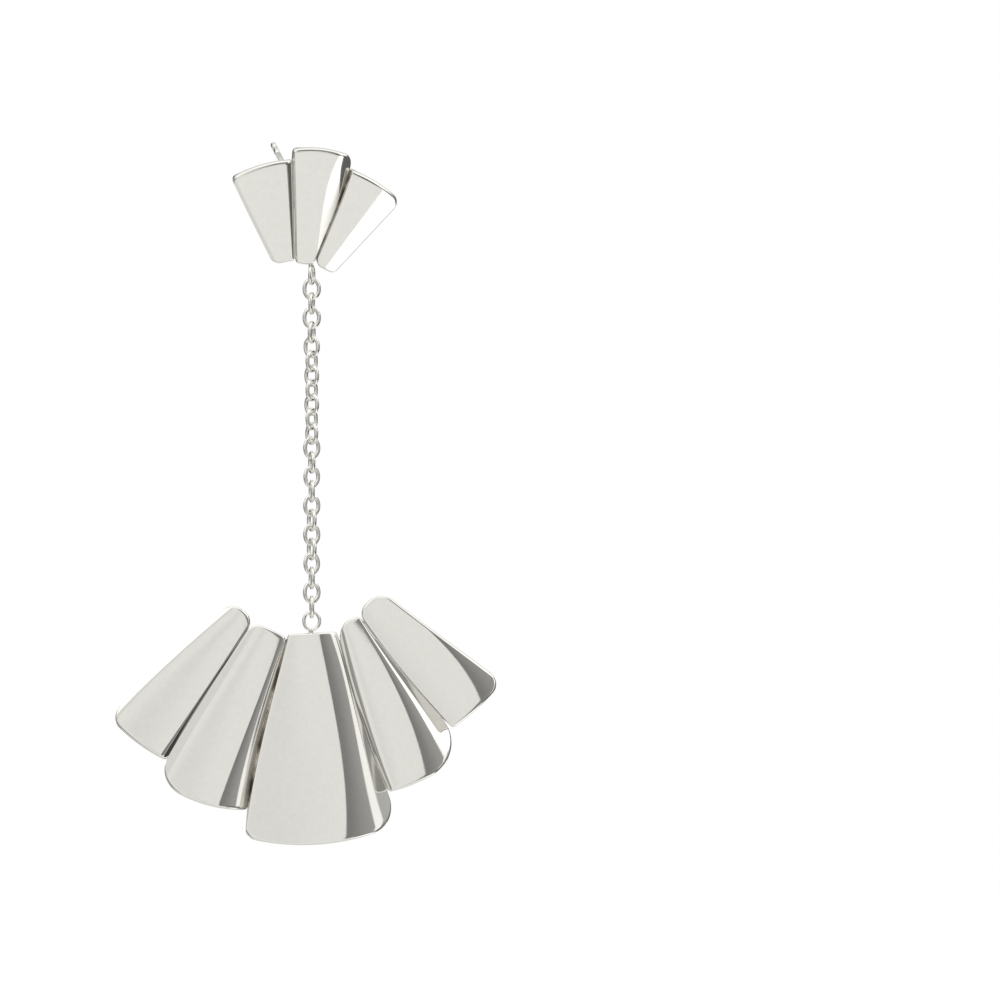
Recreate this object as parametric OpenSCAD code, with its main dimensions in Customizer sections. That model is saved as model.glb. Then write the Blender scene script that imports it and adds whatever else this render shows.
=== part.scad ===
// Long drop earring in silver: a fan stud of three pleats, a fine cable chain, a fan of five pleats.
// The origin is where the ear post leaves the back of the stud. +Z is up, the front faces -Y.

/* [Pleated fans] */
// Thickness of the metal in the flat face of a pleat
wall = 0.8; // [0.7:0.05:1]
// Rounding of the front edge round both fans
edge_round = 0.3; // [0.15:0.05:0.4]
// How far a flat face of the drop fan bows back before it rolls over
drop_bow = 0.12; // [0:0.02:0.2]
// How far a flat face of the stud bows back before it rolls over
stud_bow = 0.04; // [0:0.02:0.1]
// Share of the front's relief that the hollow back follows
back_follow = 0.9; // [0.8:0.05:1]
// Half the width of the crease between two pleats
crease = 0.06; // [0.04:0.01:0.1]

/* [Chain] */
// Number of links
links = 23; // [3:1:23]
// Diameter of the wire of a link
link_wire = 0.48; // [0.4:0.02:0.5]
// Width of a link over its wire
link_w = 2.23; // [2.1:0.05:2.4]
// Length of a link over its wire
link_h = 2.8; // [2.6:0.05:3]
// Play between two wires that hang in each other
play = 0.1; // [0.1:0.02:0.16]

/* [Rings] */
// Diameter of the wire of the soldered rings
ring_wire = 0.4; // [0.34:0.02:0.46]
// Width of a soldered ring over its wire
ring_w = 2.3; // [2.2:0.05:2.4]
// Height of a soldered ring over its wire
ring_h = 2.55; // [2.5:0.05:2.8]
// Radius of the bead of solder that holds a ring
solder_r = 0.3; // [0.25:0.05:0.35]

/* [Ear post] */
// Diameter of the ear post
post_d = 0.7; // [0.6:0.05:0.9]
// Length of the ear post behind the stud
post_len = 11.2; // [9:0.1:12]
// Radius of the solder round the foot of the post
foot_r = 0.65; // [0.5:0.05:0.8]
// Depth of the grooves that a clutch grips
groove = 0.08; // [0.04:0.02:0.12]
// Distance from the post's tip to the middle of the first groove
groove_at = 1.7; // [1.5:0.1:2]
// Distance between the two grooves
groove_pitch = 2.4; // [2:0.1:3]
// Angle by which the stud leans forward on its post
stud_lean = 21; // [15:1:25]

/* [Hidden] */
$fn = 48;

// Columns of a fold line: its angle at the first, second and third reference radius.
// Columns of a pleat.
INNER = 0;         // radius of its inner edge at the left, in the middle and at the right
RIM = 1;           // radius of its rim at the left, in the middle and at the right
INNER_CORNERS = 2; // radii of the left and right corners of its inner edge
RIM_CORNERS = 3;   // width and depth of the rounded corners of its rim, left and right
BEVEL = 4;         // width of the wall up which its left side rises, at the three reference radii
ROLL = 5;          // share of its width at which its face rolls over, at the three reference radii
DROP = 6;          // depth of the crease on its right, at the three reference radii

// Drop fan: angles from straight down, positive to the right
DROP_RADII = [12.6, 22.8, 33];
DROP_FOLDS = [
    [-46.8, -47.7, -46.8],
    [-31.6, -32.3, -32.0],
    [-12.9, -13.6, -13.2],
    [13.1, 13.85, 15.7],
    [27.6, 32.3, 35.3],
    [47.6, 50.0, 50.8]
];
DROP_PLEATS = [
    [[13.3, 13.15, 13.4], [33.6, 33.6, 33.3], [1.4, 1.2], [[1.7, 1.7], [0.4, 0.4]],
        [0.5, 0.5, 0.5], [0.9, 0.94, 0.88], [0.15, 0.24, 0.38]],
    [[13.7, 13.4, 13.8], [35.8, 36.0, 35.1], [0.9, 0.4], [[3.6, 2.5], [0.4, 0.4]],
        [0.85, 0.85, 0.85], [0.86, 0.785, 0.70], [0.2, 0.91, 1.4]],
    [[13.3, 12.85, 13.0], [38.4, 38.3, 37.2], [0.3, 0.5], [[1.4, 1.4], [3.8, 3.8]],
        [0.12, 0.12, 0.12], [0.628, 0.723, 0.679], [0.91, 1.03, 2.12]],
    [[12.5, 12.1, 12.2], [33.3, 33.3, 32.8], [1.7, 0.3], [[0.4, 0.4], [6, 5]],
        [0.45, 0.5, 0.4], [0.915, 0.73, 0.44], [0.24, 1.03, 2.75]],
    [[11.7, 11.25, 11.5], [29.6, 29.6, 29.6], [1.4, 1.7], [[0.5, 0.5], [1.9, 1.9]],
        [0.12, 0.12, 0.12], [0.9, 0.9, 0.52], [0.2, 0.27, 1.28]]
];
// Stud fan: angles from straight up, positive to the right
STUD_RADII = [7, 13, 19];
STUD_FOLDS = [
    [-25.7, -26.0, -25.8],
    [-2.8, -2.6, -2.6],
    [17.3, 18.95, 19.1],
    [43.2, 42.9, 42.8]
];
STUD_PLEATS = [
    [[6.85, 6.75, 6.75], [19.1, 19.35, 19.35], [1.0, 0.3], [[0.6, 0.6], [0.3, 0.3]],
        [0.25, 0.25, 0.25], [0.88, 0.88, 0.88], [0.25, 0.3, 0.35]],
    [[6.5, 6.3, 6.5], [20.7, 20.85, 20.5], [0.3, 0.3], [[0.5, 0.5], [1.2, 1.2]],
        [0.12, 0.12, 0.12], [0.76, 0.546, 0.662], [0.11, 0.36, 0.63]],
    [[6.6, 6.4, 6.6], [19.0, 18.8, 18.5], [1.0, 0.6], [[0.3, 0.3], [1.4, 1.4]],
        [0.12, 0.12, 0.12], [0.41, 0.415, 0.448], [0.4, 0.58, 0.74]]
];
// Fall of the outermost left edge of a fan, which has no crease beside it
FREE_DROP = 0.25;
// Greatest slope of a pleat as it rolls over, in degrees
ROLL_SLOPE = 22;

// Places on the finished earring
CHAIN_X = 2.93;
CHAIN_Y = 4.0;
FIRST_LINK_Z = -14.09;
DROP_CENTRE = [3.05, -42.65];
STUD_CENTRE = [1.52, -17.88];
LEAN_AXIS = [0.884, 0, 0.467];
STUD_RING_TURN = -14;
// Height of the foot of solder behind the middle of the stud's back
FOOT_H = 0.6;
// Length of the beads of solder, and how far each lies off the middle of the chain
SOLDER_LEN = 0.9;
STUD_SOLDER = [-0.1, -0.05];
DROP_SOLDER = [-0.1, 0];
// Turn of each link about the chain, which twists a quarter turn on its way down
LINK_TURNS = [
    0, -10, 0, -15, -30, -35, -40, -35, -40, -35, -50, -65,
    -75, -60, -80, -65, -65, -65, -65, -60, -80, -70, -85
];

LINK_PITCH = link_h - 2 * link_wire - play;
// Half the height of a link and of a ring, to the middle of the wire
LINK_REACH = (link_h - link_wire) / 2;
RING_REACH = (ring_h - ring_wire) / 2;
// Height between the middles of a link's wire and of a ring's wire that hang in each other
RING_HANG = (link_wire + ring_wire) / 2 + play;
LAST_LINK_Z = FIRST_LINK_Z - (links - 1) * LINK_PITCH;
STUD_RING_Z = FIRST_LINK_Z + LINK_REACH - RING_HANG + RING_REACH;
DROP_RING_Z = LAST_LINK_Z - LINK_REACH + RING_HANG - RING_REACH;

// Steps across a pleat's left wall, its flat face and its roll
WALL_STEPS = 2;
FACE_STOPS = [0.04, 0.13, 0.28, 0.5, 0.76, 1];
ROLL_STOPS = [0.2, 0.4, 0.6, 0.78, 0.92, 1];
PLEAT_COLS = WALL_STEPS + 1 + len(FACE_STOPS) + len(ROLL_STOPS);
// Distances from the inner edge and the rim of the rows that round the front edge
EDGE_STOPS = [0, 0.3, 1];
MID_ROWS = 8;
LAST_ROW = 2 * len(EDGE_STOPS) + MID_ROWS - 1;

function link_name(i) = str("link_", i < 10 ? "0" : "", i);

function mix(a, b, t) = a + (b - a) * t;
// The smooth curve through three values, at t = 0, 0.5 and 1
function curve(v, t) = v[0] * (1 - t) * (1 - 2 * t) + v[1] * 4 * t * (1 - t) + v[2] * t * (2 * t - 1);
// A value at a radius, from its values at the three reference radii
function at_radius(values, radii, r) = curve(values, (r - radii[0]) / (radii[2] - radii[0]));
// How far a rounded corner of a width and a depth cuts in at a distance x from the side
function corner_cut(width, depth, x) = x >= width ? 0 : depth * (1 - sqrt(1 - pow(1 - x / width, 2)));
// Height lost at a distance x from a rounded edge
function edge_fall(x) = corner_cut(edge_round, edge_round, x);

// Radius of row j between an inner edge and a rim
function row_radius(j, inner, rim) =
    j < len(EDGE_STOPS) ? inner + EDGE_STOPS[j] * edge_round
    : j > LAST_ROW - len(EDGE_STOPS) ? rim - EDGE_STOPS[LAST_ROW - j] * edge_round
    : mix(inner + edge_round, rim - edge_round, (j - len(EDGE_STOPS) + 1) / (MID_ROWS + 1));
function row_share(j) = row_radius(j, 0, 20) / 20;
// Share of the pleat's width at column c, where the left wall ends at share b and the roll starts at share s
function col_share(c, b, s) =
    c <= WALL_STEPS ? b * c / WALL_STEPS
    : c <= WALL_STEPS + len(FACE_STOPS) ? mix(b, s, FACE_STOPS[c - WALL_STEPS - 1])
    : mix(s, 1, ROLL_STOPS[c - WALL_STEPS - len(FACE_STOPS) - 1]);
// A roll bends as a round arc does: q runs from 0 where it starts to 1 at the crease
function roll_fall(q) = (1 - sqrt(1 - pow(q * sin(ROLL_SLOPE), 2))) / (1 - cos(ROLL_SLOPE));
// Depth behind the flat face at column c
function relief(c, left_drop, drop, bow) =
    c <= WALL_STEPS ? left_drop * (1 - c / WALL_STEPS)
    : c <= WALL_STEPS + len(FACE_STOPS) ? bow * pow(FACE_STOPS[c - WALL_STEPS - 1], 2)
    : mix(bow, drop, roll_fall(ROLL_STOPS[c - WALL_STEPS - len(FACE_STOPS) - 1]));

// One point of a fan. back is 0 on the front and 1 on the back, up is 1 or -1 for the way that it opens.
function fan_point(pleats, folds, radii, bow, k, c, j, back, up) =
    let (
        p = pleats[k],
        v = row_share(j),
        middle = mix(p[INNER][1], p[RIM][1], v),
        span = at_radius(folds[k + 1], radii, middle) - at_radius(folds[k], radii, middle),
        width = middle * span * PI / 180,
        bevel = (at_radius(p[BEVEL], radii, middle) + back * wall) / width,
        u = col_share(c, bevel, at_radius(p[ROLL], radii, middle)),
        inner_w = p[INNER][1] * span * PI / 180,
        rim_w = p[RIM][1] * span * PI / 180,
        inner = curve(p[INNER], u)
            + corner_cut(p[INNER_CORNERS][0], p[INNER_CORNERS][0], u * inner_w)
            + corner_cut(p[INNER_CORNERS][1], p[INNER_CORNERS][1], (1 - u) * inner_w),
        rim = curve(p[RIM], u)
            - corner_cut(p[RIM_CORNERS][0][0], p[RIM_CORNERS][0][1], u * rim_w)
            - corner_cut(p[RIM_CORNERS][1][0], p[RIM_CORNERS][1][1], (1 - u) * rim_w),
        r = row_radius(j, inner, rim),
        inset = crease / r * 180 / PI,
        a = mix(at_radius(folds[k], radii, r) + inset, at_radius(folds[k + 1], radii, r) - inset, u),
        left_drop = k == 0 ? FREE_DROP : at_radius(pleats[k - 1][DROP], radii, r),
        depth = relief(c, left_drop, at_radius(p[DROP], radii, r), bow),
        y = back == 1 ? wall + back_follow * depth : depth + edge_fall(min(r - inner, rim - r))
    )
    [r * sin(a), y, up * r * cos(a)];

// The two triangles of a patch, turned over if flip is true
function patch(a, b, c, d, flip) = flip ? [[a, c, b], [a, d, c]] : [[a, b, c], [a, c, d]];

// A pleated fan whose flat faces lie in the plane y = 0 and whose folds meet in the origin
module pleated_fan(pleats, folds, radii, bow, up) {
    cols = len(pleats) * PLEAT_COLS;
    rows = LAST_ROW + 1;
    side = cols * rows;
    points = [
        for (back = [0, 1], i = [0:cols - 1], j = [0:LAST_ROW])
            fan_point(pleats, folds, radii, bow, floor(i / PLEAT_COLS), i % PLEAT_COLS, j, back, up)
    ];
    flip = up < 0;
    faces = [
        for (i = [0:cols - 2], j = [0:LAST_ROW - 1])
            let (f = i * rows + j, b = side + f)
                each concat(
                    patch(f, f + 1, f + rows + 1, f + rows, flip),
                    patch(b, b + rows, b + rows + 1, b + 1, flip)
                ),
        for (i = [0:cols - 2])
            let (f = i * rows, g = f + LAST_ROW)
                each concat(
                    patch(f, f + rows, side + f + rows, side + f, flip),
                    patch(g, side + g, side + g + rows, g + rows, flip)
                ),
        for (j = [0:LAST_ROW - 1])
            let (f = j, g = (cols - 1) * rows + j)
                each concat(
                    patch(f, side + f, side + f + 1, f + 1, flip),
                    patch(g, g + 1, side + g + 1, side + g, flip)
                )
    ];
    polyhedron(points = points, faces = faces, convexity = 10);
}

// A closed loop of round wire in its own XZ plane: two half rings joined by straight sides
module wire_loop(width, height, wire) {
    bend = (width - wire) / 2;
    side = height - width;
    for (end = [-1, 1]) {
        translate([0, 0, end * side / 2])
            rotate([end * 90, 0, 0])
                rotate_extrude(angle = 180)
                    translate([bend, 0])
                        circle(d = wire);
        translate([end * bend, 0, 0])
            cylinder(d = wire, h = side, center = true);
    }
}

// Outline of a groove round the post, with its middle at a distance y from the foot
function groove_outline(y) = [
    [post_d / 2, y - 2 * groove],
    [post_d / 2 - groove, y],
    [post_d / 2, y + 2 * groove]
];

// The post stands in a foot of solder on the back of the stud, with two grooves near its tip
module ear_post() {
    rotate([-90, 0, 0])
        rotate_extrude()
            polygon(concat(
                [[0, -wall / 2], [foot_r, -wall / 2], [foot_r, 0.1], [post_d / 2, FOOT_H]],
                groove_outline(post_len - groove_at - groove_pitch),
                groove_outline(post_len - groove_at),
                [[post_d / 2, post_len - post_d / 4], [post_d / 4, post_len], [0, post_len]]
            ));
}

// A bead of solder, from the wire of a ring into the edge of a fan
module solder(shift) {
    translate(shift)
        cylinder(r = solder_r, h = SOLDER_LEN);
}

module stud() {
    color("silver") {
        rotate(a = stud_lean, v = LEAN_AXIS) {
            translate([STUD_CENTRE[0], -wall, STUD_CENTRE[1]])
                pleated_fan(STUD_PLEATS, STUD_FOLDS, STUD_RADII, stud_bow, 1);
            ear_post();
        }
        translate([CHAIN_X, CHAIN_Y, STUD_RING_Z])
            rotate([0, 0, 90 + STUD_RING_TURN])
                wire_loop(ring_w, ring_h, ring_wire);
        translate([CHAIN_X, CHAIN_Y, STUD_RING_Z + RING_REACH - ring_wire / 2])
            solder(STUD_SOLDER);
    }
}

module link(i) {
    translate([CHAIN_X, CHAIN_Y, FIRST_LINK_Z - (i - 1) * LINK_PITCH])
        rotate([0, 0, LINK_TURNS[i - 1] + 90 * ((i - 1) % 2)])
            color("silver")
                wire_loop(link_w, link_h, link_wire);
}

module drop_fan() {
    color("silver") {
        translate([DROP_CENTRE[0], CHAIN_Y - wall / 2 - drop_bow, DROP_CENTRE[1]])
            pleated_fan(DROP_PLEATS, DROP_FOLDS, DROP_RADII, drop_bow, -1);
        translate([CHAIN_X, CHAIN_Y, DROP_RING_Z])
            wire_loop(ring_w, ring_h, ring_wire);
        translate([CHAIN_X, CHAIN_Y, DROP_RING_Z - RING_REACH + ring_wire / 4])
            mirror([0, 0, 1])
                solder(DROP_SOLDER);
    }
}

stud();
for (i = [1:links]) link(i);
drop_fan();
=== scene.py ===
"""A drop earring of two pleated silver fans on a fine chain, with its finish, in a plain pale studio.

Sizes in the tables are millimetres; everything in the scene is metres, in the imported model's frame.
"""
import math
from collections import namedtuple

import bpy
import numpy as np
from mathutils import Matrix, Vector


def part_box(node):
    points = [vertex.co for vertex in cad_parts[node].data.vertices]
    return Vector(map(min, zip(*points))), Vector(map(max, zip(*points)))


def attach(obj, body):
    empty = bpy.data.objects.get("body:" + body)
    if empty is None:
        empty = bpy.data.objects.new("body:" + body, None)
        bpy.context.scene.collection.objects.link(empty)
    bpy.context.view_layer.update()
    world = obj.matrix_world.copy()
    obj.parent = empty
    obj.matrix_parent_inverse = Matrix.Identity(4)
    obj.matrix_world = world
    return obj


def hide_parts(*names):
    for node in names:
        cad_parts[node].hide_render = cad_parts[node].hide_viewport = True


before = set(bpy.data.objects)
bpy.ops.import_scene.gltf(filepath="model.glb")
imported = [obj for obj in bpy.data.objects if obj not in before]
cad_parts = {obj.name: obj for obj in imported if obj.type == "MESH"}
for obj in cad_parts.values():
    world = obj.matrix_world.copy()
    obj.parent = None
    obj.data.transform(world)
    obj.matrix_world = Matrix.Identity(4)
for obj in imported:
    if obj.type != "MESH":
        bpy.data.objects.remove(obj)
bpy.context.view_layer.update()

bl_info = {
    "name": "Fan Earring",
    "version": (1, 0, 0),
    "blender": (4, 5, 0),
    "location": "3D View > Sidebar > Fan Earring",
    "description": "Builds a pleated fan earring on its packed model, with its finish and its studio",
    "category": "Add Mesh",
}

MM = 0.001


def srgb(code):
    """Linear colour, with alpha, of an sRGB hex value."""
    parts = [int(code[i:i + 2], 16) / 255 for i in (0, 2, 4)]
    return (*(c / 12.92 if c <= 0.04045 else ((c + 0.055) / 1.055) ** 2.4 for c in parts), 1.0)


# inner and rim are the radii of a pleat's ends at its left, middle and right. inner_corners are the sizes
# of its two inner corners, rim_corners the width and depth of its two rim corners.
# bevel is the width of its left wall, roll the share of its width at which its face rolls over, and drop
# the depth of the crease on its right, all at the fan's three reference radii.
# crest is how softly the wall's top is rounded.
Pleat = namedtuple("Pleat", "inner rim inner_corners rim_corners bevel roll drop crest")
# radii are the reference radii, and folds the degrees at which each crease crosses them.
# tarnish is how dark each crease and each outer side is painted, from 0 to 1: partly oxide, partly painted
# shade of the deep crease.
# up is 1 if the fan opens upward. centre is the point that the pleats spread from, before the fan leans.
Fan = namedtuple("Fan", "radii folds pleats tarnish up centre")
DROP_FAN = Fan(
    radii=(12.6, 22.8, 33),
    folds=((-46.8, -47.7, -46.8), (-31.6, -32.3, -32.0), (-12.9, -13.6, -13.2),
           (13.1, 13.85, 15.7), (27.6, 32.3, 35.3), (47.6, 50.0, 50.8)),
    pleats=(
        Pleat((13.3, 13.15, 13.4), (33.6, 33.6, 33.3), (1.4, 1.2), ((1.7, 1.7), (0.4, 0.4)),
              (0.5, 0.5, 0.5), (0.9, 0.94, 0.88), (0.15, 0.24, 0.38), 0.3),
        Pleat((13.7, 13.4, 13.8), (35.8, 36.0, 35.1), (0.9, 0.4), ((3.6, 2.5), (0.4, 0.4)),
              (0.85, 0.85, 0.85), (0.86, 0.785, 0.70), (0.2, 0.91, 1.4), 0.1),
        Pleat((13.3, 12.85, 13.0), (38.4, 38.3, 37.2), (0.3, 0.5), ((1.4, 1.4), (3.8, 3.8)),
              (0.12, 0.12, 0.12), (0.628, 0.723, 0.679), (0.91, 1.03, 2.12), 0.1),
        Pleat((12.5, 12.1, 12.2), (33.3, 33.3, 32.8), (1.7, 0.3), ((0.4, 0.4), (6, 5)),
              (0.45, 0.5, 0.4), (0.915, 0.73, 0.44), (0.24, 1.03, 2.75), 0.3),
        Pleat((11.7, 11.25, 11.5), (29.6, 29.6, 29.6), (1.4, 1.7), ((0.5, 0.5), (1.9, 1.9)),
              (0.12, 0.12, 0.12), (0.93, 0.835, 0.352), (0.15, 0.36, 1.41), 0.1),
    ),
    # How dark each crease is painted: oxide, and painted shade of the deep crease
    tarnish=(0, 0.35, 1, 0.55, 0.1, 0),
    up=-1,
    centre=(3.05, 3.48, -42.65),
)
STUD_FAN = Fan(
    radii=(7, 13, 19),
    folds=((-25.7, -26.0, -25.8), (-2.8, -2.6, -2.6), (17.3, 18.95, 19.1), (43.2, 42.9, 42.8)),
    pleats=(
        Pleat((6.85, 6.75, 6.75), (19.1, 19.35, 19.35), (1.0, 0.3), ((0.6, 0.6), (0.3, 0.3)),
              (0.25, 0.25, 0.25), (0.88, 0.88, 0.88), (0.25, 0.3, 0.35), 0.3),
        Pleat((6.5, 6.3, 6.5), (20.7, 20.85, 20.5), (0.3, 0.3), ((0.5, 0.5), (1.2, 1.2)),
              (0.12, 0.12, 0.12), (0.76, 0.546, 0.642), (0.07, 0.33, 0.8), 0.1),
        Pleat((6.6, 6.4, 6.6), (19.0, 18.8, 18.5), (1.0, 0.6), ((0.3, 0.3), (1.4, 1.4)),
              (0.12, 0.12, 0.12), (0.41, 0.415, 0.448), (0.4, 0.58, 0.74), 0.1),
    ),
    # How dark each crease is painted: oxide, and painted shade of the deep crease
    tarnish=(0, 0.6, 1, 0),
    up=1,
    centre=(1.52, -0.8, -17.88),
)
# How far a plate's back follows its front, the half gap at a crease, and the depth of a free left edge
BACK_FOLLOW, CREASE, FREE_DROP = 0.9, 0.06, 0.25
# Final slope of a rolled face in degrees, and how softly the back's crests and edges are rounded
ROLL_SLOPE, BACK_SOFT, BACK_EDGE = 22, 0.3, 0.12
# How far the painted darkening of a crease, oxide and painted shade, reaches from it, over the wall on its
# right and over the roll on its left
WALL_OXIDE_AND_SHADE, ROLL_OXIDE_AND_SHADE = 0.12, 0.18
# Places of the columns across a pleat: on its left wall, past its crest, on its face and on its roll
WALL_STEPS = np.linspace(0, 1, 7)
CREST_STEPS = np.array([0.03, 0.07, 0.13, 0.22])
FACE_STEPS = np.linspace(0, 1, 20)[1:]
ROLL_STEPS = np.sin(np.linspace(0, math.pi / 2, 30)[1:])
# Places of the rows along a pleat: on the rounding of an end, and between the ends
EDGE_STEPS = 1 - np.cos(np.linspace(0, math.pi / 2, 7))
MID_STEPS = np.linspace(0, 1, 82)[1:-1]
# Length of a usual pleat, for the share of it that the rounding of an end takes up
USUAL_LENGTH = 20
# A plate shades sharp where it turns by more than this
PLATE_SHARP = math.radians(38)


def mix(a, b, t):
    return a + (b - a) * t


def curve(values, t):
    """A smooth curve through three values, at t = 0, 0.5 and 1."""
    return values[0] * (1 - t) * (1 - 2 * t) + values[1] * 4 * t * (1 - t) + values[2] * t * (2 * t - 1)


def at_radius(fan, values, r):
    """A smooth curve through the values at the fan's reference radii."""
    return curve(values, (r - fan.radii[0]) / (fan.radii[2] - fan.radii[0]))


def fold_angle(fan, k, r):
    """Bearing of a crease at a radius, in radians."""
    return np.radians(at_radius(fan, fan.folds[k], r))


def corner_cut(width, depth, x):
    """How much an elliptic rounding takes off at a distance x from the corner."""
    return depth * (1 - np.sqrt(1 - (1 - np.clip(x / width, 0, 1)) ** 2))


def roll_fall(share):
    """Part of its whole fall that a rolled face has fallen at a share of its width."""
    slope = math.radians(ROLL_SLOPE)
    return (1 - np.sqrt(1 - (share * math.sin(slope)) ** 2)) / (1 - math.cos(slope))


def pleat_side(fan, k, back, wall, edge_round, face_bow):
    """Points of one side of a pleat, columns by rows, and how dark each is painted near a crease, from 0 to
    1: oxide, and painted shade of the deep crease.
    """
    p = fan.pleats[k]
    n = len(EDGE_STEPS)
    rounded = EDGE_STEPS * edge_round
    # Each row's radius at the pleat's middle sets its width and relief
    end = edge_round / USUAL_LENGTH
    share = np.concatenate([rounded / USUAL_LENGTH, mix(end, 1 - end, MID_STEPS),
                            1 - rounded[::-1] / USUAL_LENGTH])
    middle = mix(p.inner[1], p.rim[1], share)
    span = fold_angle(fan, k + 1, middle) - fold_angle(fan, k, middle)
    width = middle * span
    bevel = at_radius(fan, p.bevel, middle) + back * wall
    face_end = at_radius(fan, p.roll, middle) * width
    near = bevel + CREST_STEPS[:, None]
    x = np.concatenate([
        WALL_STEPS[:, None] * bevel,
        near,
        mix(near[-1:], face_end, FACE_STEPS[:, None]),
        mix(face_end, width, ROLL_STEPS[:, None]),
    ])
    u = x / width
    inner_width, rim_width = p.inner[1] * span, p.rim[1] * span
    inner = (curve(p.inner, u) + corner_cut(p.inner_corners[0], p.inner_corners[0], u * inner_width)
             + corner_cut(p.inner_corners[1], p.inner_corners[1], (1 - u) * inner_width))
    rim = (curve(p.rim, u) - corner_cut(*p.rim_corners[0], u * rim_width)
           - corner_cut(*p.rim_corners[1], (1 - u) * rim_width))
    r = np.empty_like(u)
    r[:, :n] = inner[:, :n] + rounded
    r[:, n:-n] = mix(inner[:, n:-n] + edge_round, rim[:, n:-n] - edge_round, MID_STEPS)
    r[:, -n:] = rim[:, -n:] - rounded[::-1]
    inset = CREASE / r
    angle = mix(fold_angle(fan, k, r) + inset, fold_angle(fan, k + 1, r) - inset, u)
    left_drop = at_radius(fan, fan.pleats[k - 1].drop, r) if k else FREE_DROP + 0 * r
    drop = at_radius(fan, p.drop, r)
    # The wall falls to the left of the crest, the face bows a little, and the roll falls on to the crease
    soft = BACK_SOFT if back else p.crest
    fall = left_drop * (1 - x / bevel)
    on_face = np.clip((x - bevel) / (face_end - bevel), 0, 1)
    on_roll = np.clip((x - face_end) / (width - face_end), 0, 1)
    slope = 2 * face_bow / (face_end - bevel)
    run = slope * np.clip(x - face_end, 0, None)
    depth = ((fall + np.sqrt(fall ** 2 + soft ** 2)) / 2 + face_bow * on_face ** 2 + run
             + (drop - face_bow - slope * (width - face_end)) * roll_fall(on_roll))
    edge = np.minimum(r - inner, rim - r)
    if back:
        y = wall + BACK_FOLLOW * depth - corner_cut(BACK_EDGE, BACK_EDGE, edge)
    else:
        y = depth + corner_cut(edge_round, edge_round, edge)
        if k == len(fan.pleats) - 1:
            y = y + corner_cut(edge_round, edge_round, width - x)
    # Darkening near the creases, for the material: partly oxide, partly painted shade of the deep crease
    crease_oxide_and_shade = np.maximum(fan.tarnish[k] * np.exp(-x / WALL_OXIDE_AND_SHADE),
                             fan.tarnish[k + 1] * np.exp(-(width - x) / ROLL_OXIDE_AND_SHADE))
    return np.stack([r * np.sin(angle), y, fan.up * r * np.cos(angle)], axis=-1), crease_oxide_and_shade


def grid_faces(a, b, count, turned):
    """Quads between two rows of points that start at the indices a and b."""
    for i in range(count - 1):
        quad = (a + i, b + i, b + i + 1, a + i + 1)
        yield quad[::-1] if turned else quad


def fan_mesh(name, fan, place, wall, edge_round, face_bow):
    """The closed plate of a fan: its front, its back and the four sides between them."""
    sides = [pleat_side(fan, k, back, wall, edge_round, face_bow)
             for back in (0, 1) for k in range(len(fan.pleats))]
    cols = sum(len(points) for points, _ in sides[:len(fan.pleats)])
    rows = sides[0][0].shape[1]
    total = cols * rows
    points = np.concatenate([points for points, _ in sides]).reshape(-1, 3) + np.array(fan.centre)
    near = np.concatenate([near for _, near in sides]).reshape(-1)
    flip = fan.up < 0
    faces = []
    for c in range(cols - 1):
        faces += grid_faces(c * rows, (c + 1) * rows, rows, flip)
        faces += grid_faces(total + c * rows, total + (c + 1) * rows, rows, not flip)
    for c in range(cols - 1):
        for row, turned in ((0, not flip), (rows - 1, flip)):
            a, b = c * rows + row, (c + 1) * rows + row
            quad = (a, total + a, total + b, b)
            faces.append(quad if turned else quad[::-1])
    for col, turned in ((0, flip), (cols - 1, not flip)):
        faces += grid_faces(col * rows, total + col * rows, rows, turned)
    mesh = bpy.data.meshes.new(name)
    mesh.from_pydata([tuple(v) for v in points * MM], [], faces)
    mesh.transform(place)
    # Painted darkening of the creases, oxide and painted shade, read by the material
    mesh.attributes.new("oxide_and_painted_shade", "FLOAT", "POINT").data.foreach_set("value", near)
    mesh.attributes.new("on_back", "FLOAT", "POINT").data.foreach_set("value", np.repeat([0.0, 1.0], total))
    mesh.validate()
    mesh.shade_smooth()
    mesh.set_sharp_from_angle(angle=PLATE_SHARP)
    return mesh


# The stud leans forward about an axis in its own plane
STUD_LEAN = Matrix.Rotation(math.radians(21), 4, (0.884, 0, 0.467))
# Degrees that each link of the chain is turned about the vertical, from the stud down, besides the quarter
# turn of every second one
LINK_TURNS = (0, -10, 0, -15, -30, -35, -40, -35, -40, -35, -50, -65, -75, -60, -80, -65, -65, -65, -65, -60,
              -80, -70, -85)
LINK_NODES = ["link_%02d" % (i + 1) for i in range(len(LINK_TURNS))]
# Places of the two rings' middles, and the degrees that the stud's ring is turned about the vertical
STUD_RING, STUD_RING_TURN = (2.93, 4.0, -12.395), 76
DROP_RING = (2.93, 4.0, -54.065)
# Wire, width and height of the rings
RING = (0.4, 2.3, 2.55)
# Outline of a ring's bead of solder, as radius and height from the ring's wire towards its plate
BEAD = ((0, -0.14), (0.16, -0.12), (0.25, -0.05), (0.29, 0.06), (0.29, 0.2), (0.27, 0.36), (0.27, 0.5),
        (0.29, 0.62), (0.3, 0.72), (0.24, 0.8), (0, 0.84))
# Outline of the post's foot of solder, as radius and height above the plate's back, and the height at which
# the bare wire begins
FOOT = ((0, -0.3), (0.72, -0.3), (0.68, 0.02), (0.62, 0.14), (0.52, 0.28), (0.43, 0.42), (0.37, 0.56))
FOOT_HEIGHT = 0.68
# The post's grooves: how far they are from its tip, and their outline as depth and height
GROOVES = (4.1, 1.7)
GROOVE = ((0, -0.18), (0.012, -0.15), (0.07, -0.04), (0.08, 0), (0.07, 0.04), (0.012, 0.15), (0, 0.18))
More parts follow.
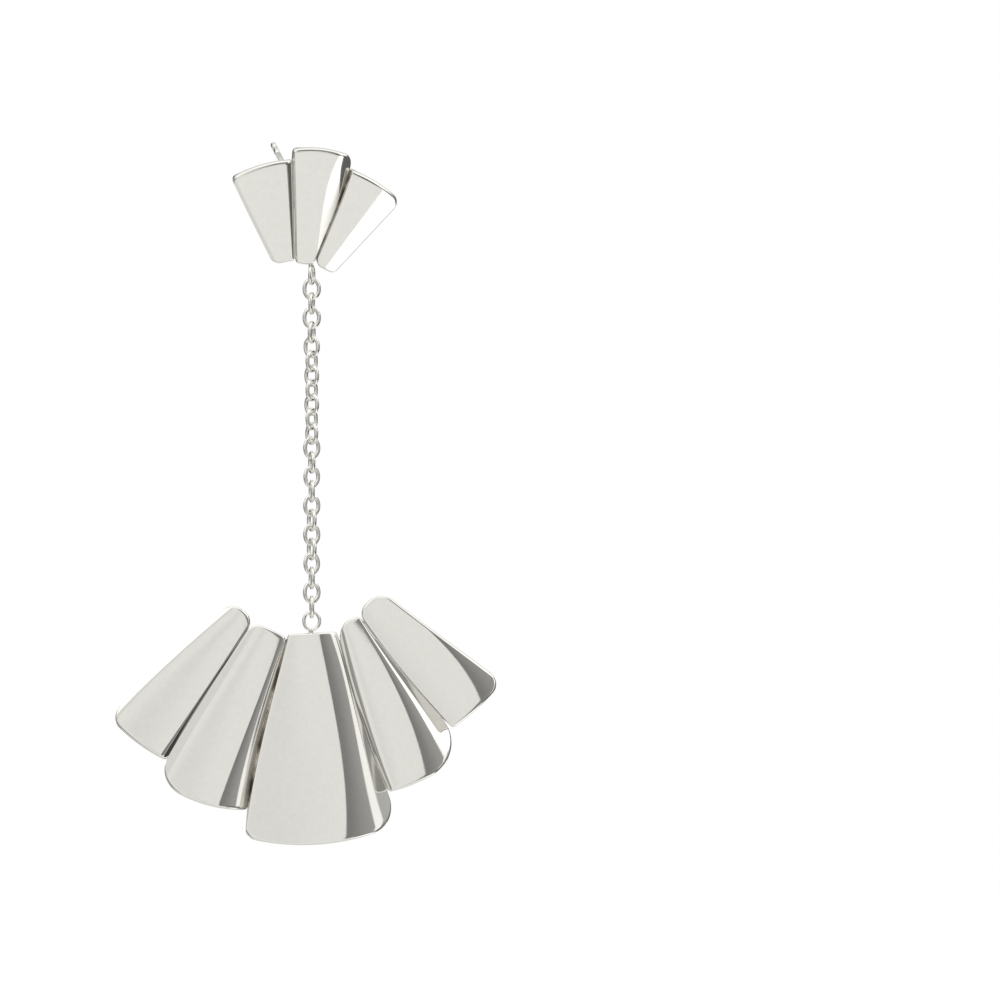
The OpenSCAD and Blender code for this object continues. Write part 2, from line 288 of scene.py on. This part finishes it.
# The height of the post's round tip, and the angles of the points on it
TIP_HEIGHT, TIP_ANGLES = 0.2, (0, 0.3, 0.6, 0.9, 1.15, 1.35)
# Points round the post, round a bead, along a link's wire and round the wire
POST_POINTS, BEAD_POINTS, LOOP_POINTS, WIRE_POINTS = 40, 32, 64, 20
# A turned piece shades sharp where it turns by more than this
TURNED_SHARP = math.radians(50)


def middle_of(node):
    """Middle of a node's box, in metres."""
    low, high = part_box(node)
    return [(a + b) / 2 for a, b in zip(low, high)]


def add_piece(name, mesh, body, material, replaced=()):
    """Puts a finished mesh into the scene as a piece on a body."""
    piece = bpy.data.objects.new(name, mesh)
    bpy.context.scene.collection.objects.link(piece)
    mesh.materials.clear()
    mesh.materials.append(material)
    bpy.context.view_layer.update()
    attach(piece, body)
    if replaced:
        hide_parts(*replaced)


def lathe_mesh(name, outline, place, around):
    """A closed turned shape about +Y, from (radius, height) pairs that start and end on the axis, in mm."""
    points, faces = [], []
    for radius, height in outline[1:-1]:
        for i in range(around):
            a = 2 * math.pi * i / around
            points.append((radius * math.sin(a) * MM, height * MM, radius * math.cos(a) * MM))
    rings = len(outline) - 2
    for j in range(rings - 1):
        for i in range(around):
            n = (i + 1) % around
            faces.append((j * around + i, j * around + n, (j + 1) * around + n, (j + 1) * around + i))
    first, last = len(points), len(points) + 1
    points += [(0, outline[0][1] * MM, 0), (0, outline[-1][1] * MM, 0)]
    for i in range(around):
        n = (i + 1) % around
        faces.append((first, n, i))
        faces.append((last, (rings - 1) * around + i, (rings - 1) * around + n))
    mesh = bpy.data.meshes.new(name)
    mesh.from_pydata(points, [], faces)
    mesh.transform(place)
    mesh.shade_smooth()
    mesh.set_sharp_from_angle(angle=TURNED_SHARP)
    return mesh


def add_node(tree, kind, links=(), **settings):
    """Adds a node, sets its properties, and sets or links its inputs: {input: value or output socket}."""
    node = tree.nodes.new(kind)
    for key, value in settings.items():
        setattr(node, key, value)
    for key, value in dict(links).items():
        if isinstance(value, bpy.types.NodeSocket):
            tree.links.new(value, node.inputs[key])
        else:
            node.inputs[key].default_value = value
    return node


def wire_loop_tree(material):
    """Geometry Nodes: an oval loop of wire at every point, turned about the vertical by the point's turn."""
    tree = bpy.data.node_groups.new("wire_loops", "GeometryNodeTree")
    face = tree.interface
    face.new_socket("Geometry", in_out="OUTPUT", socket_type="NodeSocketGeometry")
    face.new_socket("Geometry", in_out="INPUT", socket_type="NodeSocketGeometry")
    for label in ("Wire", "Width", "Height"):
        face.new_socket(label, in_out="INPUT", socket_type="NodeSocketFloat")
    given = add_node(tree, "NodeGroupInput").outputs
    # A circle 1 across is stretched to the oval that the wire's middle follows
    across = add_node(tree, "ShaderNodeMath", {0: given["Width"], 1: given["Wire"]},
                      operation="SUBTRACT").outputs[0]
    along = add_node(tree, "ShaderNodeMath", {0: given["Height"], 1: given["Wire"]},
                     operation="SUBTRACT").outputs[0]
    oval = add_node(tree, "ShaderNodeCombineXYZ", {"X": across, "Y": along, "Z": 1.0}).outputs[0]
    circle = add_node(tree, "GeometryNodeCurvePrimitiveCircle", {"Resolution": LOOP_POINTS, "Radius": 0.5})
    path = add_node(tree, "GeometryNodeTransform", {"Geometry": circle.outputs[0], "Scale": oval})
    radius = add_node(tree, "ShaderNodeMath", {0: given["Wire"], 1: 0.5}, operation="MULTIPLY").outputs[0]
    section = add_node(tree, "GeometryNodeCurvePrimitiveCircle",
                       {"Resolution": WIRE_POINTS, "Radius": radius})
    wire = add_node(tree, "GeometryNodeCurveToMesh",
                    {"Curve": path.outputs[0], "Profile Curve": section.outputs[0]})
    upright = add_node(tree, "GeometryNodeTransform",
                       {"Geometry": wire.outputs[0], "Rotation": (math.pi / 2, 0, 0)})
    turn = add_node(tree, "GeometryNodeInputNamedAttribute", {"Name": "turn"}, data_type="FLOAT").outputs[0]
    angles = add_node(tree, "ShaderNodeCombineXYZ", {"Z": turn}).outputs[0]
    loops = add_node(tree, "GeometryNodeInstanceOnPoints",
                     {"Points": given["Geometry"], "Instance": upright.outputs[0], "Rotation": angles})
    real = add_node(tree, "GeometryNodeRealizeInstances", {"Geometry": loops.outputs[0]})
    smooth = add_node(tree, "GeometryNodeSetShadeSmooth", {"Geometry": real.outputs[0]})
    dressed = add_node(tree, "GeometryNodeSetMaterial", {"Geometry": smooth.outputs[0], "Material": material})
    add_node(tree, "NodeGroupOutput", {0: dressed.outputs[0]})
    return tree


def wire_loops_mesh(name, places, turns, wire, width, height, material):
    """A plain mesh of wire loops at places in metres, turned by degrees, made by Geometry Nodes."""
    points = bpy.data.meshes.new(name + "_places")
    points.from_pydata([tuple(p) for p in places], [], [])
    turn = points.attributes.new("turn", "FLOAT", "POINT")
    turn.data.foreach_set("value", [math.radians(t) for t in turns])
    holder = bpy.data.objects.new(name + "_places", points)
    bpy.context.scene.collection.objects.link(holder)
    tree = wire_loop_tree(material)
    modifier = holder.modifiers.new("loops", "NODES")
    modifier.node_group = tree
    sizes = {"Wire": wire, "Width": width, "Height": height}
    for item in tree.interface.items_tree:
        if item.in_out == "INPUT" and item.name in sizes:
            modifier[item.identifier] = sizes[item.name]
    view = bpy.context.evaluated_depsgraph_get()
    mesh = bpy.data.meshes.new_from_object(holder.evaluated_get(view), depsgraph=view)
    mesh.name = name
    holder.modifiers.remove(modifier)
    bpy.data.objects.remove(holder)
    if not mesh.polygons:
        raise RuntimeError("the wire loops of %s came out empty" % name)
    return mesh


# How many times rougher than the plates the wire is, and the height of its waves in millimetres
WIRE_ROUGHER, WIRE_WAVE = 1.1, 0.002


def silver_material(name, colour, roughness, wave, plate):
    """Polished silver: a bright, faintly warm metal whose hand-polished face still waves a little.

    Buffing leaves a mirror with a faint mottle; the creases are darkened, partly by oxide that stays where
    the wheel doesn't reach and partly by painted shade of the deep creases.
    """
    material = bpy.data.materials.new(name)
    material.use_nodes = True
    tree = material.node_tree
    tree.nodes.clear()
    place = add_node(tree, "ShaderNodeTexCoord").outputs["Object"]
    # Cloudy patches of slightly duller metal, about 4 mm across
    cloud = add_node(tree, "ShaderNodeTexNoise",
                     {"Vector": place, "Scale": 250.0, "Detail": 3.0, "Roughness": 0.6}).outputs[0]
    dull = add_node(tree, "ShaderNodeMapRange",
                    {"Value": cloud, "From Min": 0.35, "From Max": 0.75,
                     "To Min": roughness * 0.8, "To Max": roughness * 1.5}).outputs[0]
    # Fine grain of the polishing compound, 0.15 mm, drawn coarser than it is so that it shows
    grain = add_node(tree, "ShaderNodeTexNoise", {"Vector": place, "Scale": 6500.0, "Detail": 2.0}).outputs[0]
    fine = add_node(tree, "ShaderNodeMapRange",
                    {"Value": grain, "From Min": 0.3, "From Max": 0.7,
                     "To Min": -0.02, "To Max": 0.03}).outputs[0]
    rough = add_node(tree, "ShaderNodeMath", {0: dull, 1: fine}, operation="ADD").outputs[0]
    tone = add_node(tree, "ShaderNodeMapRange",
                    {"Value": cloud, "From Min": 0.3, "From Max": 0.7,
                     "To Min": 0.96, "To Max": 1.0}).outputs[0]
    if plate:
        # Mottle of the hand-rubbed face, about 0.7 mm across
        mottle = add_node(tree, "ShaderNodeTexNoise",
                          {"Vector": place, "Scale": 1400.0, "Detail": 4.0, "Roughness": 0.7}).outputs[0]
        speck = add_node(tree, "ShaderNodeMapRange",
                         {"Value": mottle, "From Min": 0.3, "From Max": 0.7,
                          "To Min": 0.72, "To Max": 1.0}).outputs[0]
        tone = add_node(tree, "ShaderNodeMath", {0: tone, 1: speck}, operation="MULTIPLY").outputs[0]
    metal = add_node(tree, "ShaderNodeMix", {"Factor": tone, "A": srgb("E3E2DE"), "B": colour},
                     data_type="RGBA").outputs["Result"]
    if plate:
        near = add_node(tree, "ShaderNodeAttribute", attribute_name="oxide_and_painted_shade").outputs["Fac"]
        back = add_node(tree, "ShaderNodeAttribute", attribute_name="on_back").outputs["Fac"]
        # Oxide and painted shade in the creases: straw brown at its edge, near black at the bottom, broken up
        # by the cloud
        spread = add_node(tree, "ShaderNodeMath", {0: near, 1: cloud}, operation="MULTIPLY").outputs[0]
        straw = add_node(tree, "ShaderNodeMapRange",
                         {"Value": spread, "From Min": 0.2, "From Max": 0.5,
                          "To Min": 0.0, "To Max": 0.8}).outputs[0]
        black = add_node(tree, "ShaderNodeMapRange",
                         {"Value": spread, "From Min": 0.38, "From Max": 0.6,
                          "To Min": 0.0, "To Max": 0.9}).outputs[0]
        metal = add_node(tree, "ShaderNodeMix", {"Factor": straw, "A": metal, "B": srgb("B4A998")},
                         data_type="RGBA").outputs["Result"]
        metal = add_node(tree, "ShaderNodeMix", {"Factor": black, "A": metal, "B": srgb("48433E")},
                         data_type="RGBA").outputs["Result"]
        # The back is satin, and the darkened creases, oxide and painted shade, are matt
        satin = add_node(tree, "ShaderNodeMath", {0: back, 1: 0.16}, operation="MULTIPLY").outputs[0]
        darkened_crease_matt = add_node(tree, "ShaderNodeMath", {0: black, 1: 0.25}, operation="MULTIPLY").outputs[0]
        rough = add_node(tree, "ShaderNodeMath", {0: rough, 1: satin}, operation="ADD").outputs[0]
        rough = add_node(tree, "ShaderNodeMath", {0: rough, 1: darkened_crease_matt}, operation="ADD").outputs[0]
    # Long waves that the hammer and the wheel leave in the sheet, about 7 mm apart
    waves = add_node(tree, "ShaderNodeTexNoise", {"Vector": place, "Scale": 150.0, "Detail": 2.0}).outputs[0]
    bump = add_node(tree, "ShaderNodeBump", {"Height": waves, "Strength": 1.0, "Distance": wave * MM})
    out = add_node(tree, "ShaderNodeBsdfPrincipled",
                   {"Base Color": metal, "Metallic": 1.0, "Roughness": rough, "Normal": bump.outputs[0]})
    add_node(tree, "ShaderNodeOutputMaterial", {"Surface": out.outputs[0]})
    return material


def finish_for(name):
    """The finish with this name, made once."""
    found = bpy.data.materials.get(name)
    if found:
        return found
    looks = bpy.context.scene.earring_looks
    if name == "polished silver plate":
        return silver_material(name, (*looks.silver, 1), looks.roughness, looks.wave, True)
    if name == "polished silver wire":
        return silver_material(name, (*looks.silver, 1), looks.roughness * WIRE_ROUGHER, WIRE_WAVE, False)
    raise RuntimeError("there is no finish named %s" % name)


def floor_material(colour):
    """Matt white paper: even, without gloss, with a faint mottle about 20 mm across."""
    material = bpy.data.materials.new("matt paper")
    material.use_nodes = True
    tree = material.node_tree
    tree.nodes.clear()
    place = add_node(tree, "ShaderNodeTexCoord").outputs["Object"]
    mottle = add_node(tree, "ShaderNodeTexNoise", {"Vector": place, "Scale": 50.0, "Detail": 2.0}).outputs[0]
    base = add_node(tree, "ShaderNodeMix", {"Factor": mottle, "A": colour, "B": srgb("F4F3F0")},
                    data_type="RGBA").outputs["Result"]
    out = add_node(tree, "ShaderNodeBsdfPrincipled", {"Base Color": base, "Roughness": 0.9})
    add_node(tree, "ShaderNodeOutputMaterial", {"Surface": out.outputs[0]})
    return material


# Soft panels and screens round the earring, as it sees them. Bearings are degrees from the camera's side, to
# the right and up, and each panel fades over its softness. light is its brightness at its low and high end,
# along the named way.
Panel = namedtuple("Panel", "name left right low high soft light way")
PANELS = (
    Panel("screen beside the camera", -16, -2, -30, 30, 5, (0.82, 0.82), "up"),
    Panel("glow beside the camera", 0, 7, -30, 30, 3, (0.82, 0.82), "up"),
    Panel("grey wall", 57, 96, -17, 14, 2, (0.15, 0.50), "up"),
    Panel("dark screen", 7, 46, -17, 38, 2, (0.21, 0.34), "right"),
    Panel("bright strip", 46, 57, -17, 26, 2, (1.0, 1.0), "up"),
    Panel("white panel high on the right", 46, 130, 15, 60, 2, (1.35, 1.35), "up"),
    Panel("white ceiling", -180, 180, 46, 90, 6, (1.1, 1.1), "up"),
    Panel("low dark screen", 24, 84, -31, -17, 2, (0.04, 0.12), "right"),
    Panel("low dark wall", 62, 115, -45, -17, 2, (0.12, 0.12), "up"),
    Panel("white panel low on the right", 35, 62, -45, -34, 2, (1.35, 1.35), "up"),
    Panel("white panel near the floor", 35, 92, -58, -42, 2, (1.35, 1.35), "up"),
    Panel("low grey screen on the right", 40, 62, -32.5, -28, 1, (0.26, 0.26), "up"),
    Panel("white panel high on the left", -62, -24, 21, 46, 4, (1.25, 1.25), "up"),
    Panel("low grey screen on the left", -60, -11, -22, -6, 3, (0.32, 0.32), "up"),
    Panel("low screen on the left", -46, -24, -42, -24, 2, (0.3, 0.3), "up"),
    Panel("screen on the left", -135, -54, -42, 12, 3, (0.33, 0.33), "up"),
    Panel("dark curtain on the right", 96, 160, -17, 28, 3, (0.12, 0.12), "up"),
    Panel("dark curtain on the left", -160, -135, -42, 28, 3, (0.12, 0.12), "up"),
    Panel("glow low in front", -10, 34, -60, -31.5, 2, (0.84, 0.84), "up"),
)


def studio_world(base, backdrop):
    """A world of soft panels for the metal to mirror, with a plain backdrop for the camera."""
    world = bpy.data.worlds.new("studio")
    world.use_nodes = True
    tree = world.node_tree
    tree.nodes.clear()
    seen = add_node(tree, "ShaderNodeTexCoord").outputs["Generated"]
    way = add_node(tree, "ShaderNodeSeparateXYZ", {0: seen}).outputs
    front = add_node(tree, "ShaderNodeMath", {0: way[1], 1: -1.0}, operation="MULTIPLY").outputs[0]
    turn = add_node(tree, "ShaderNodeMath", {0: way[0], 1: front}, operation="ARCTAN2").outputs[0]
    bearing = add_node(tree, "ShaderNodeMath", {0: turn}, operation="DEGREES").outputs[0]
    rise = add_node(tree, "ShaderNodeMath", {0: way[2]}, operation="ARCSINE").outputs[0]
    height = add_node(tree, "ShaderNodeMath", {0: rise}, operation="DEGREES").outputs[0]
    light = base
    for panel in PANELS:
        half = panel.soft / 2
        inside = 1.0
        for value, edge, low, high in ((height, panel.low, 0.0, 1.0), (height, panel.high, 1.0, 0.0),
                                       (bearing, panel.left, 0.0, 1.0), (bearing, panel.right, 1.0, 0.0)):
            fade = add_node(tree, "ShaderNodeMapRange",
                            {"Value": value, "From Min": edge - half, "From Max": edge + half,
                             "To Min": low, "To Max": high}, interpolation_type="SMOOTHSTEP").outputs[0]
            inside = add_node(tree, "ShaderNodeMath", {0: inside, 1: fade}, operation="MULTIPLY").outputs[0]
        along, start, end = ((height, panel.low, panel.high) if panel.way == "up"
                             else (bearing, panel.left, panel.right))
        level = add_node(tree, "ShaderNodeMapRange",
                         {"Value": along, "From Min": start, "From Max": end,
                          "To Min": panel.light[0], "To Max": panel.light[1]},
                         interpolation_type="SMOOTHSTEP").outputs[0]
        light = add_node(tree, "ShaderNodeMix", {"Factor": inside, "A": light, "B": level},
                         data_type="FLOAT", label=panel.name).outputs[0]
    tint = add_node(tree, "ShaderNodeVectorMath", {0: srgb("FFFEFB")[:3], "Scale": light},
                    operation="SCALE").outputs[0]
    room = add_node(tree, "ShaderNodeBackground", {"Color": tint})
    plain = add_node(tree, "ShaderNodeBackground", {"Color": backdrop})
    rays = add_node(tree, "ShaderNodeLightPath").outputs["Is Camera Ray"]
    both = add_node(tree, "ShaderNodeMixShader", {0: rays, 1: room.outputs[0], 2: plain.outputs[0]})
    add_node(tree, "ShaderNodeOutputWorld", {"Surface": both.outputs[0]})
    return world


class EarringSizes(bpy.types.PropertyGroup):
    """Sizes that a user would change"""
    wall: bpy.props.FloatProperty(
        name="Plate thickness", description="Thickness of the pleated sheet",
        default=0.0008, precision=5, unit="LENGTH")
    edge_round: bpy.props.FloatProperty(
        name="Edge rounding", description="Rounding of the plates' front edges",
        default=0.0003, precision=5, unit="LENGTH")
    drop_bow: bpy.props.FloatProperty(
        name="Drop bow", description="How far a face of the drop plate bows",
        default=0.00012, precision=5, unit="LENGTH")
    stud_bow: bpy.props.FloatProperty(
        name="Stud bow", description="How far a face of the stud plate bows",
        default=0.00004, precision=5, unit="LENGTH")
    link_wire: bpy.props.FloatProperty(
        name="Link wire", description="Diameter of the chain's wire",
        default=0.00048, precision=5, unit="LENGTH")
    link_width: bpy.props.FloatProperty(
        name="Link width", description="Outside width of a link",
        default=0.00223, precision=5, unit="LENGTH")
    link_height: bpy.props.FloatProperty(
        name="Link height", description="Outside height of a link",
        default=0.0028, precision=5, unit="LENGTH")
    post_width: bpy.props.FloatProperty(
        name="Post diameter", description="Diameter of the ear post",
        default=0.0007, precision=5, unit="LENGTH")
    post_length: bpy.props.FloatProperty(
        name="Post length", description="Length of the ear post behind the stud",
        default=0.0112, precision=5, unit="LENGTH")


class EarringLooks(bpy.types.PropertyGroup):
    """Colours, polish and light that a user would change"""
    silver: bpy.props.FloatVectorProperty(
        name="Silver", description="Colour of the clean metal",
        size=3, subtype="COLOR", min=0, max=1, default=srgb("F6F5F1")[:3])
    roughness: bpy.props.FloatProperty(
        name="Polish", description="Roughness of the buffed face, 0 is a mirror",
        default=0.06, min=0, max=1)
    wave: bpy.props.FloatProperty(
        name="Wave", description="Height of the waves left in the sheet, in millimetres",
        default=0.016, min=0, max=0.1, precision=4)
    floor: bpy.props.FloatVectorProperty(
        name="Floor", description="Colour of the floor",
        size=3, subtype="COLOR", min=0, max=1, default=srgb("FCFCFC")[:3])
    backdrop: bpy.props.FloatVectorProperty(
        name="Backdrop", description="Colour behind the earring",
        size=3, subtype="COLOR", min=0, max=1, default=srgb("FFFFFF")[:3])
    room: bpy.props.FloatProperty(
        name="Room light", description="Brightness of the room between the panels",
        default=0.72, min=0, max=5)


class EARRING_OT_stud_plate(bpy.types.Operator):
    """Builds the small pleated plate that sits on the ear"""
    bl_idname = "earring.stud_plate"
    bl_label = "Stud plate"

    def execute(self, context):
        sizes = context.scene.earring_sizes
        mesh = fan_mesh("stud_plate", STUD_FAN, STUD_LEAN,
                        sizes.wall / MM, sizes.edge_round / MM, sizes.stud_bow / MM)
        silver = finish_for("polished silver plate")
        add_piece("stud_plate", mesh, "earring", silver, ["stud"])
        return {"FINISHED"}


class EARRING_OT_drop_plate(bpy.types.Operator):
    """Builds the large pleated plate that hangs from the chain"""
    bl_idname = "earring.drop_plate"
    bl_label = "Drop plate"

    def execute(self, context):
        sizes = context.scene.earring_sizes
        mesh = fan_mesh("drop_plate", DROP_FAN, Matrix(),
                        sizes.wall / MM, sizes.edge_round / MM, sizes.drop_bow / MM)
        silver = finish_for("polished silver plate")
        add_piece("drop_plate", mesh, "drop", silver, ["drop_fan"])
        return {"FINISHED"}


class EARRING_OT_post(bpy.types.Operator):
    """Turns the ear post with its two grooves, its round tip and its foot of solder"""
    bl_idname = "earring.post"
    bl_label = "Ear post"

    def execute(self, context):
        sizes = context.scene.earring_sizes
        r, length = sizes.post_width / MM / 2, sizes.post_length / MM
        outline = [*FOOT, (r, FOOT_HEIGHT)]
        for place in GROOVES:
            outline += [(r - depth, length - place + height) for depth, height in GROOVE]
        outline += [(r * math.cos(a), length - TIP_HEIGHT + TIP_HEIGHT * math.sin(a)) for a in TIP_ANGLES]
        outline.append((0, length))
        mesh = lathe_mesh("ear_post", outline, STUD_LEAN, POST_POINTS)
        add_piece("ear_post", mesh, "earring", finish_for("polished silver wire"))
        return {"FINISHED"}


class EARRING_OT_rings(bpy.types.Operator):
    """Bends the two rings that the chain hangs between, and lays their beads of solder"""
    bl_idname = "earring.rings"
    bl_label = "Rings and solder"

    def execute(self, context):
        silver = finish_for("polished silver wire")
        wire, width, height = RING
        # side is 1 where the plate is above its ring, and the bead stands off the ring's middle by dx and dy
        for plate, body, centre, turn, side, dx, dy in (
            ("stud", "earring", STUD_RING, STUD_RING_TURN, 1, -0.1, -0.05),
            ("drop", "drop", DROP_RING, 0, -1, -0.1, 0),
        ):
            ring = wire_loops_mesh(plate + "_ring", [[c * MM for c in centre]], [turn],
                                   wire * MM, width * MM, height * MM, silver)
            add_piece(plate + "_ring", ring, body, silver)
            foot = centre[2] + side * ((height - wire) / 2 - wire / 4)
            place = (Matrix.Translation([(centre[0] + dx) * MM, (centre[1] + dy) * MM, foot * MM])
                     @ Matrix.Rotation(side * math.pi / 2, 4, "X"))
            bead = lathe_mesh(plate + "_solder", BEAD, place, BEAD_POINTS)
            add_piece(plate + "_solder", bead, body, silver)
        return {"FINISHED"}


class EARRING_OT_chain(bpy.types.Operator):
    """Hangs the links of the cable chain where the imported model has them"""
    bl_idname = "earring.chain"
    bl_label = "Chain"

    def execute(self, context):
        sizes = context.scene.earring_sizes
        turns = [turn + 90 * (i % 2) for i, turn in enumerate(LINK_TURNS)]
        silver = finish_for("polished silver wire")
        mesh = wire_loops_mesh("chain", [middle_of(node) for node in LINK_NODES], turns,
                               sizes.link_wire, sizes.link_width, sizes.link_height, silver)
        add_piece("chain", mesh, "earring", silver, LINK_NODES)
        return {"FINISHED"}


# The floor's half width and height, in metres
FLOOR_REACH, FLOOR_HEIGHT = 0.45, -0.105
# The lamp's width in metres, its watts, its place, and the degrees that it is turned about Y and X
LAMP_WIDTH, LAMP_WATTS, LAMP_PLACE, LAMP_TURNS = 0.8, 9.0, (-0.4, -0.5, 0.7), (-25, 35)
# The camera's sensor and lens in millimetres, and its place in metres
SENSOR, LENS, CAMERA_PLACE = 36, 360, (0.0256, -1.2, -0.0395)


class EARRING_OT_stage(bpy.types.Operator):
    """Sets up the pale floor, the soft light and the camera"""
    bl_idname = "earring.stage"
    bl_label = "Stage"

    def execute(self, context):
        scene, looks = context.scene, context.scene.earring_looks
        mesh = bpy.data.meshes.new("floor")
        mesh.from_pydata([(x * FLOOR_REACH, y * FLOOR_REACH, FLOOR_HEIGHT)
                          for x, y in ((-1, -1), (1, -1), (1, 1), (-1, 1))], [], [(0, 1, 2, 3)])
        mesh.materials.append(floor_material((*looks.floor, 1)))
        floor = bpy.data.objects.new("floor", mesh)
        scene.collection.objects.link(floor)
        floor.visible_glossy = False
        scene.world = studio_world(looks.room, (*looks.backdrop, 1))
        lamp = bpy.data.lights.new("soft light", "AREA")
        lamp.shape, lamp.size, lamp.energy = "DISK", LAMP_WIDTH, LAMP_WATTS
        light = bpy.data.objects.new("soft light", lamp)
        about_y, about_x = (math.radians(turn) for turn in LAMP_TURNS)
        light.matrix_world = (Matrix.Translation(LAMP_PLACE) @ Matrix.Rotation(about_y, 4, "Y")
                              @ Matrix.Rotation(about_x, 4, "X"))
        light.visible_glossy = False
        light.visible_camera = False
        scene.collection.objects.link(light)
        scene.view_settings.view_transform = "Standard"
        # A long lens level with the earring, as in the photograph, with the same framing
        lens = bpy.data.cameras.new("camera")
        lens.sensor_width, lens.lens = SENSOR, LENS
        camera = bpy.data.objects.new("camera", lens)
        camera.matrix_world = Matrix.Translation(CAMERA_PLACE) @ Matrix.Rotation(math.pi / 2, 4, "X")
        scene.collection.objects.link(camera)
        scene.camera = camera
        return {"FINISHED"}


STEPS = (EARRING_OT_stud_plate, EARRING_OT_drop_plate, EARRING_OT_post, EARRING_OT_rings, EARRING_OT_chain,
         EARRING_OT_stage)


class VIEW3D_PT_earring(bpy.types.Panel):
    """Lists the earring's sizes, looks and building steps"""
    bl_label = "Fan Earring"
    bl_space_type = "VIEW_3D"
    bl_region_type = "UI"
    bl_category = "Fan Earring"

    def draw(self, context):
        for step in STEPS:
            self.layout.operator(step.bl_idname)
        for group in (context.scene.earring_sizes, context.scene.earring_looks):
            for name in group.__annotations__:
                self.layout.prop(group, name)


CLASSES = (EarringSizes, EarringLooks, *STEPS, VIEW3D_PT_earring)


def register():
    for cls in CLASSES:
        bpy.utils.register_class(cls)
    bpy.types.Scene.earring_sizes = bpy.props.PointerProperty(type=EarringSizes)
    bpy.types.Scene.earring_looks = bpy.props.PointerProperty(type=EarringLooks)


def unregister():
    del bpy.types.Scene.earring_looks
    del bpy.types.Scene.earring_sizes
    for cls in reversed(CLASSES):
        bpy.utils.unregister_class(cls)


def main():
    register()
    for step in STEPS:
        group, name = step.bl_idname.split(".")
        getattr(getattr(bpy.ops, group), name)()


if __name__ == "__main__":
    main()
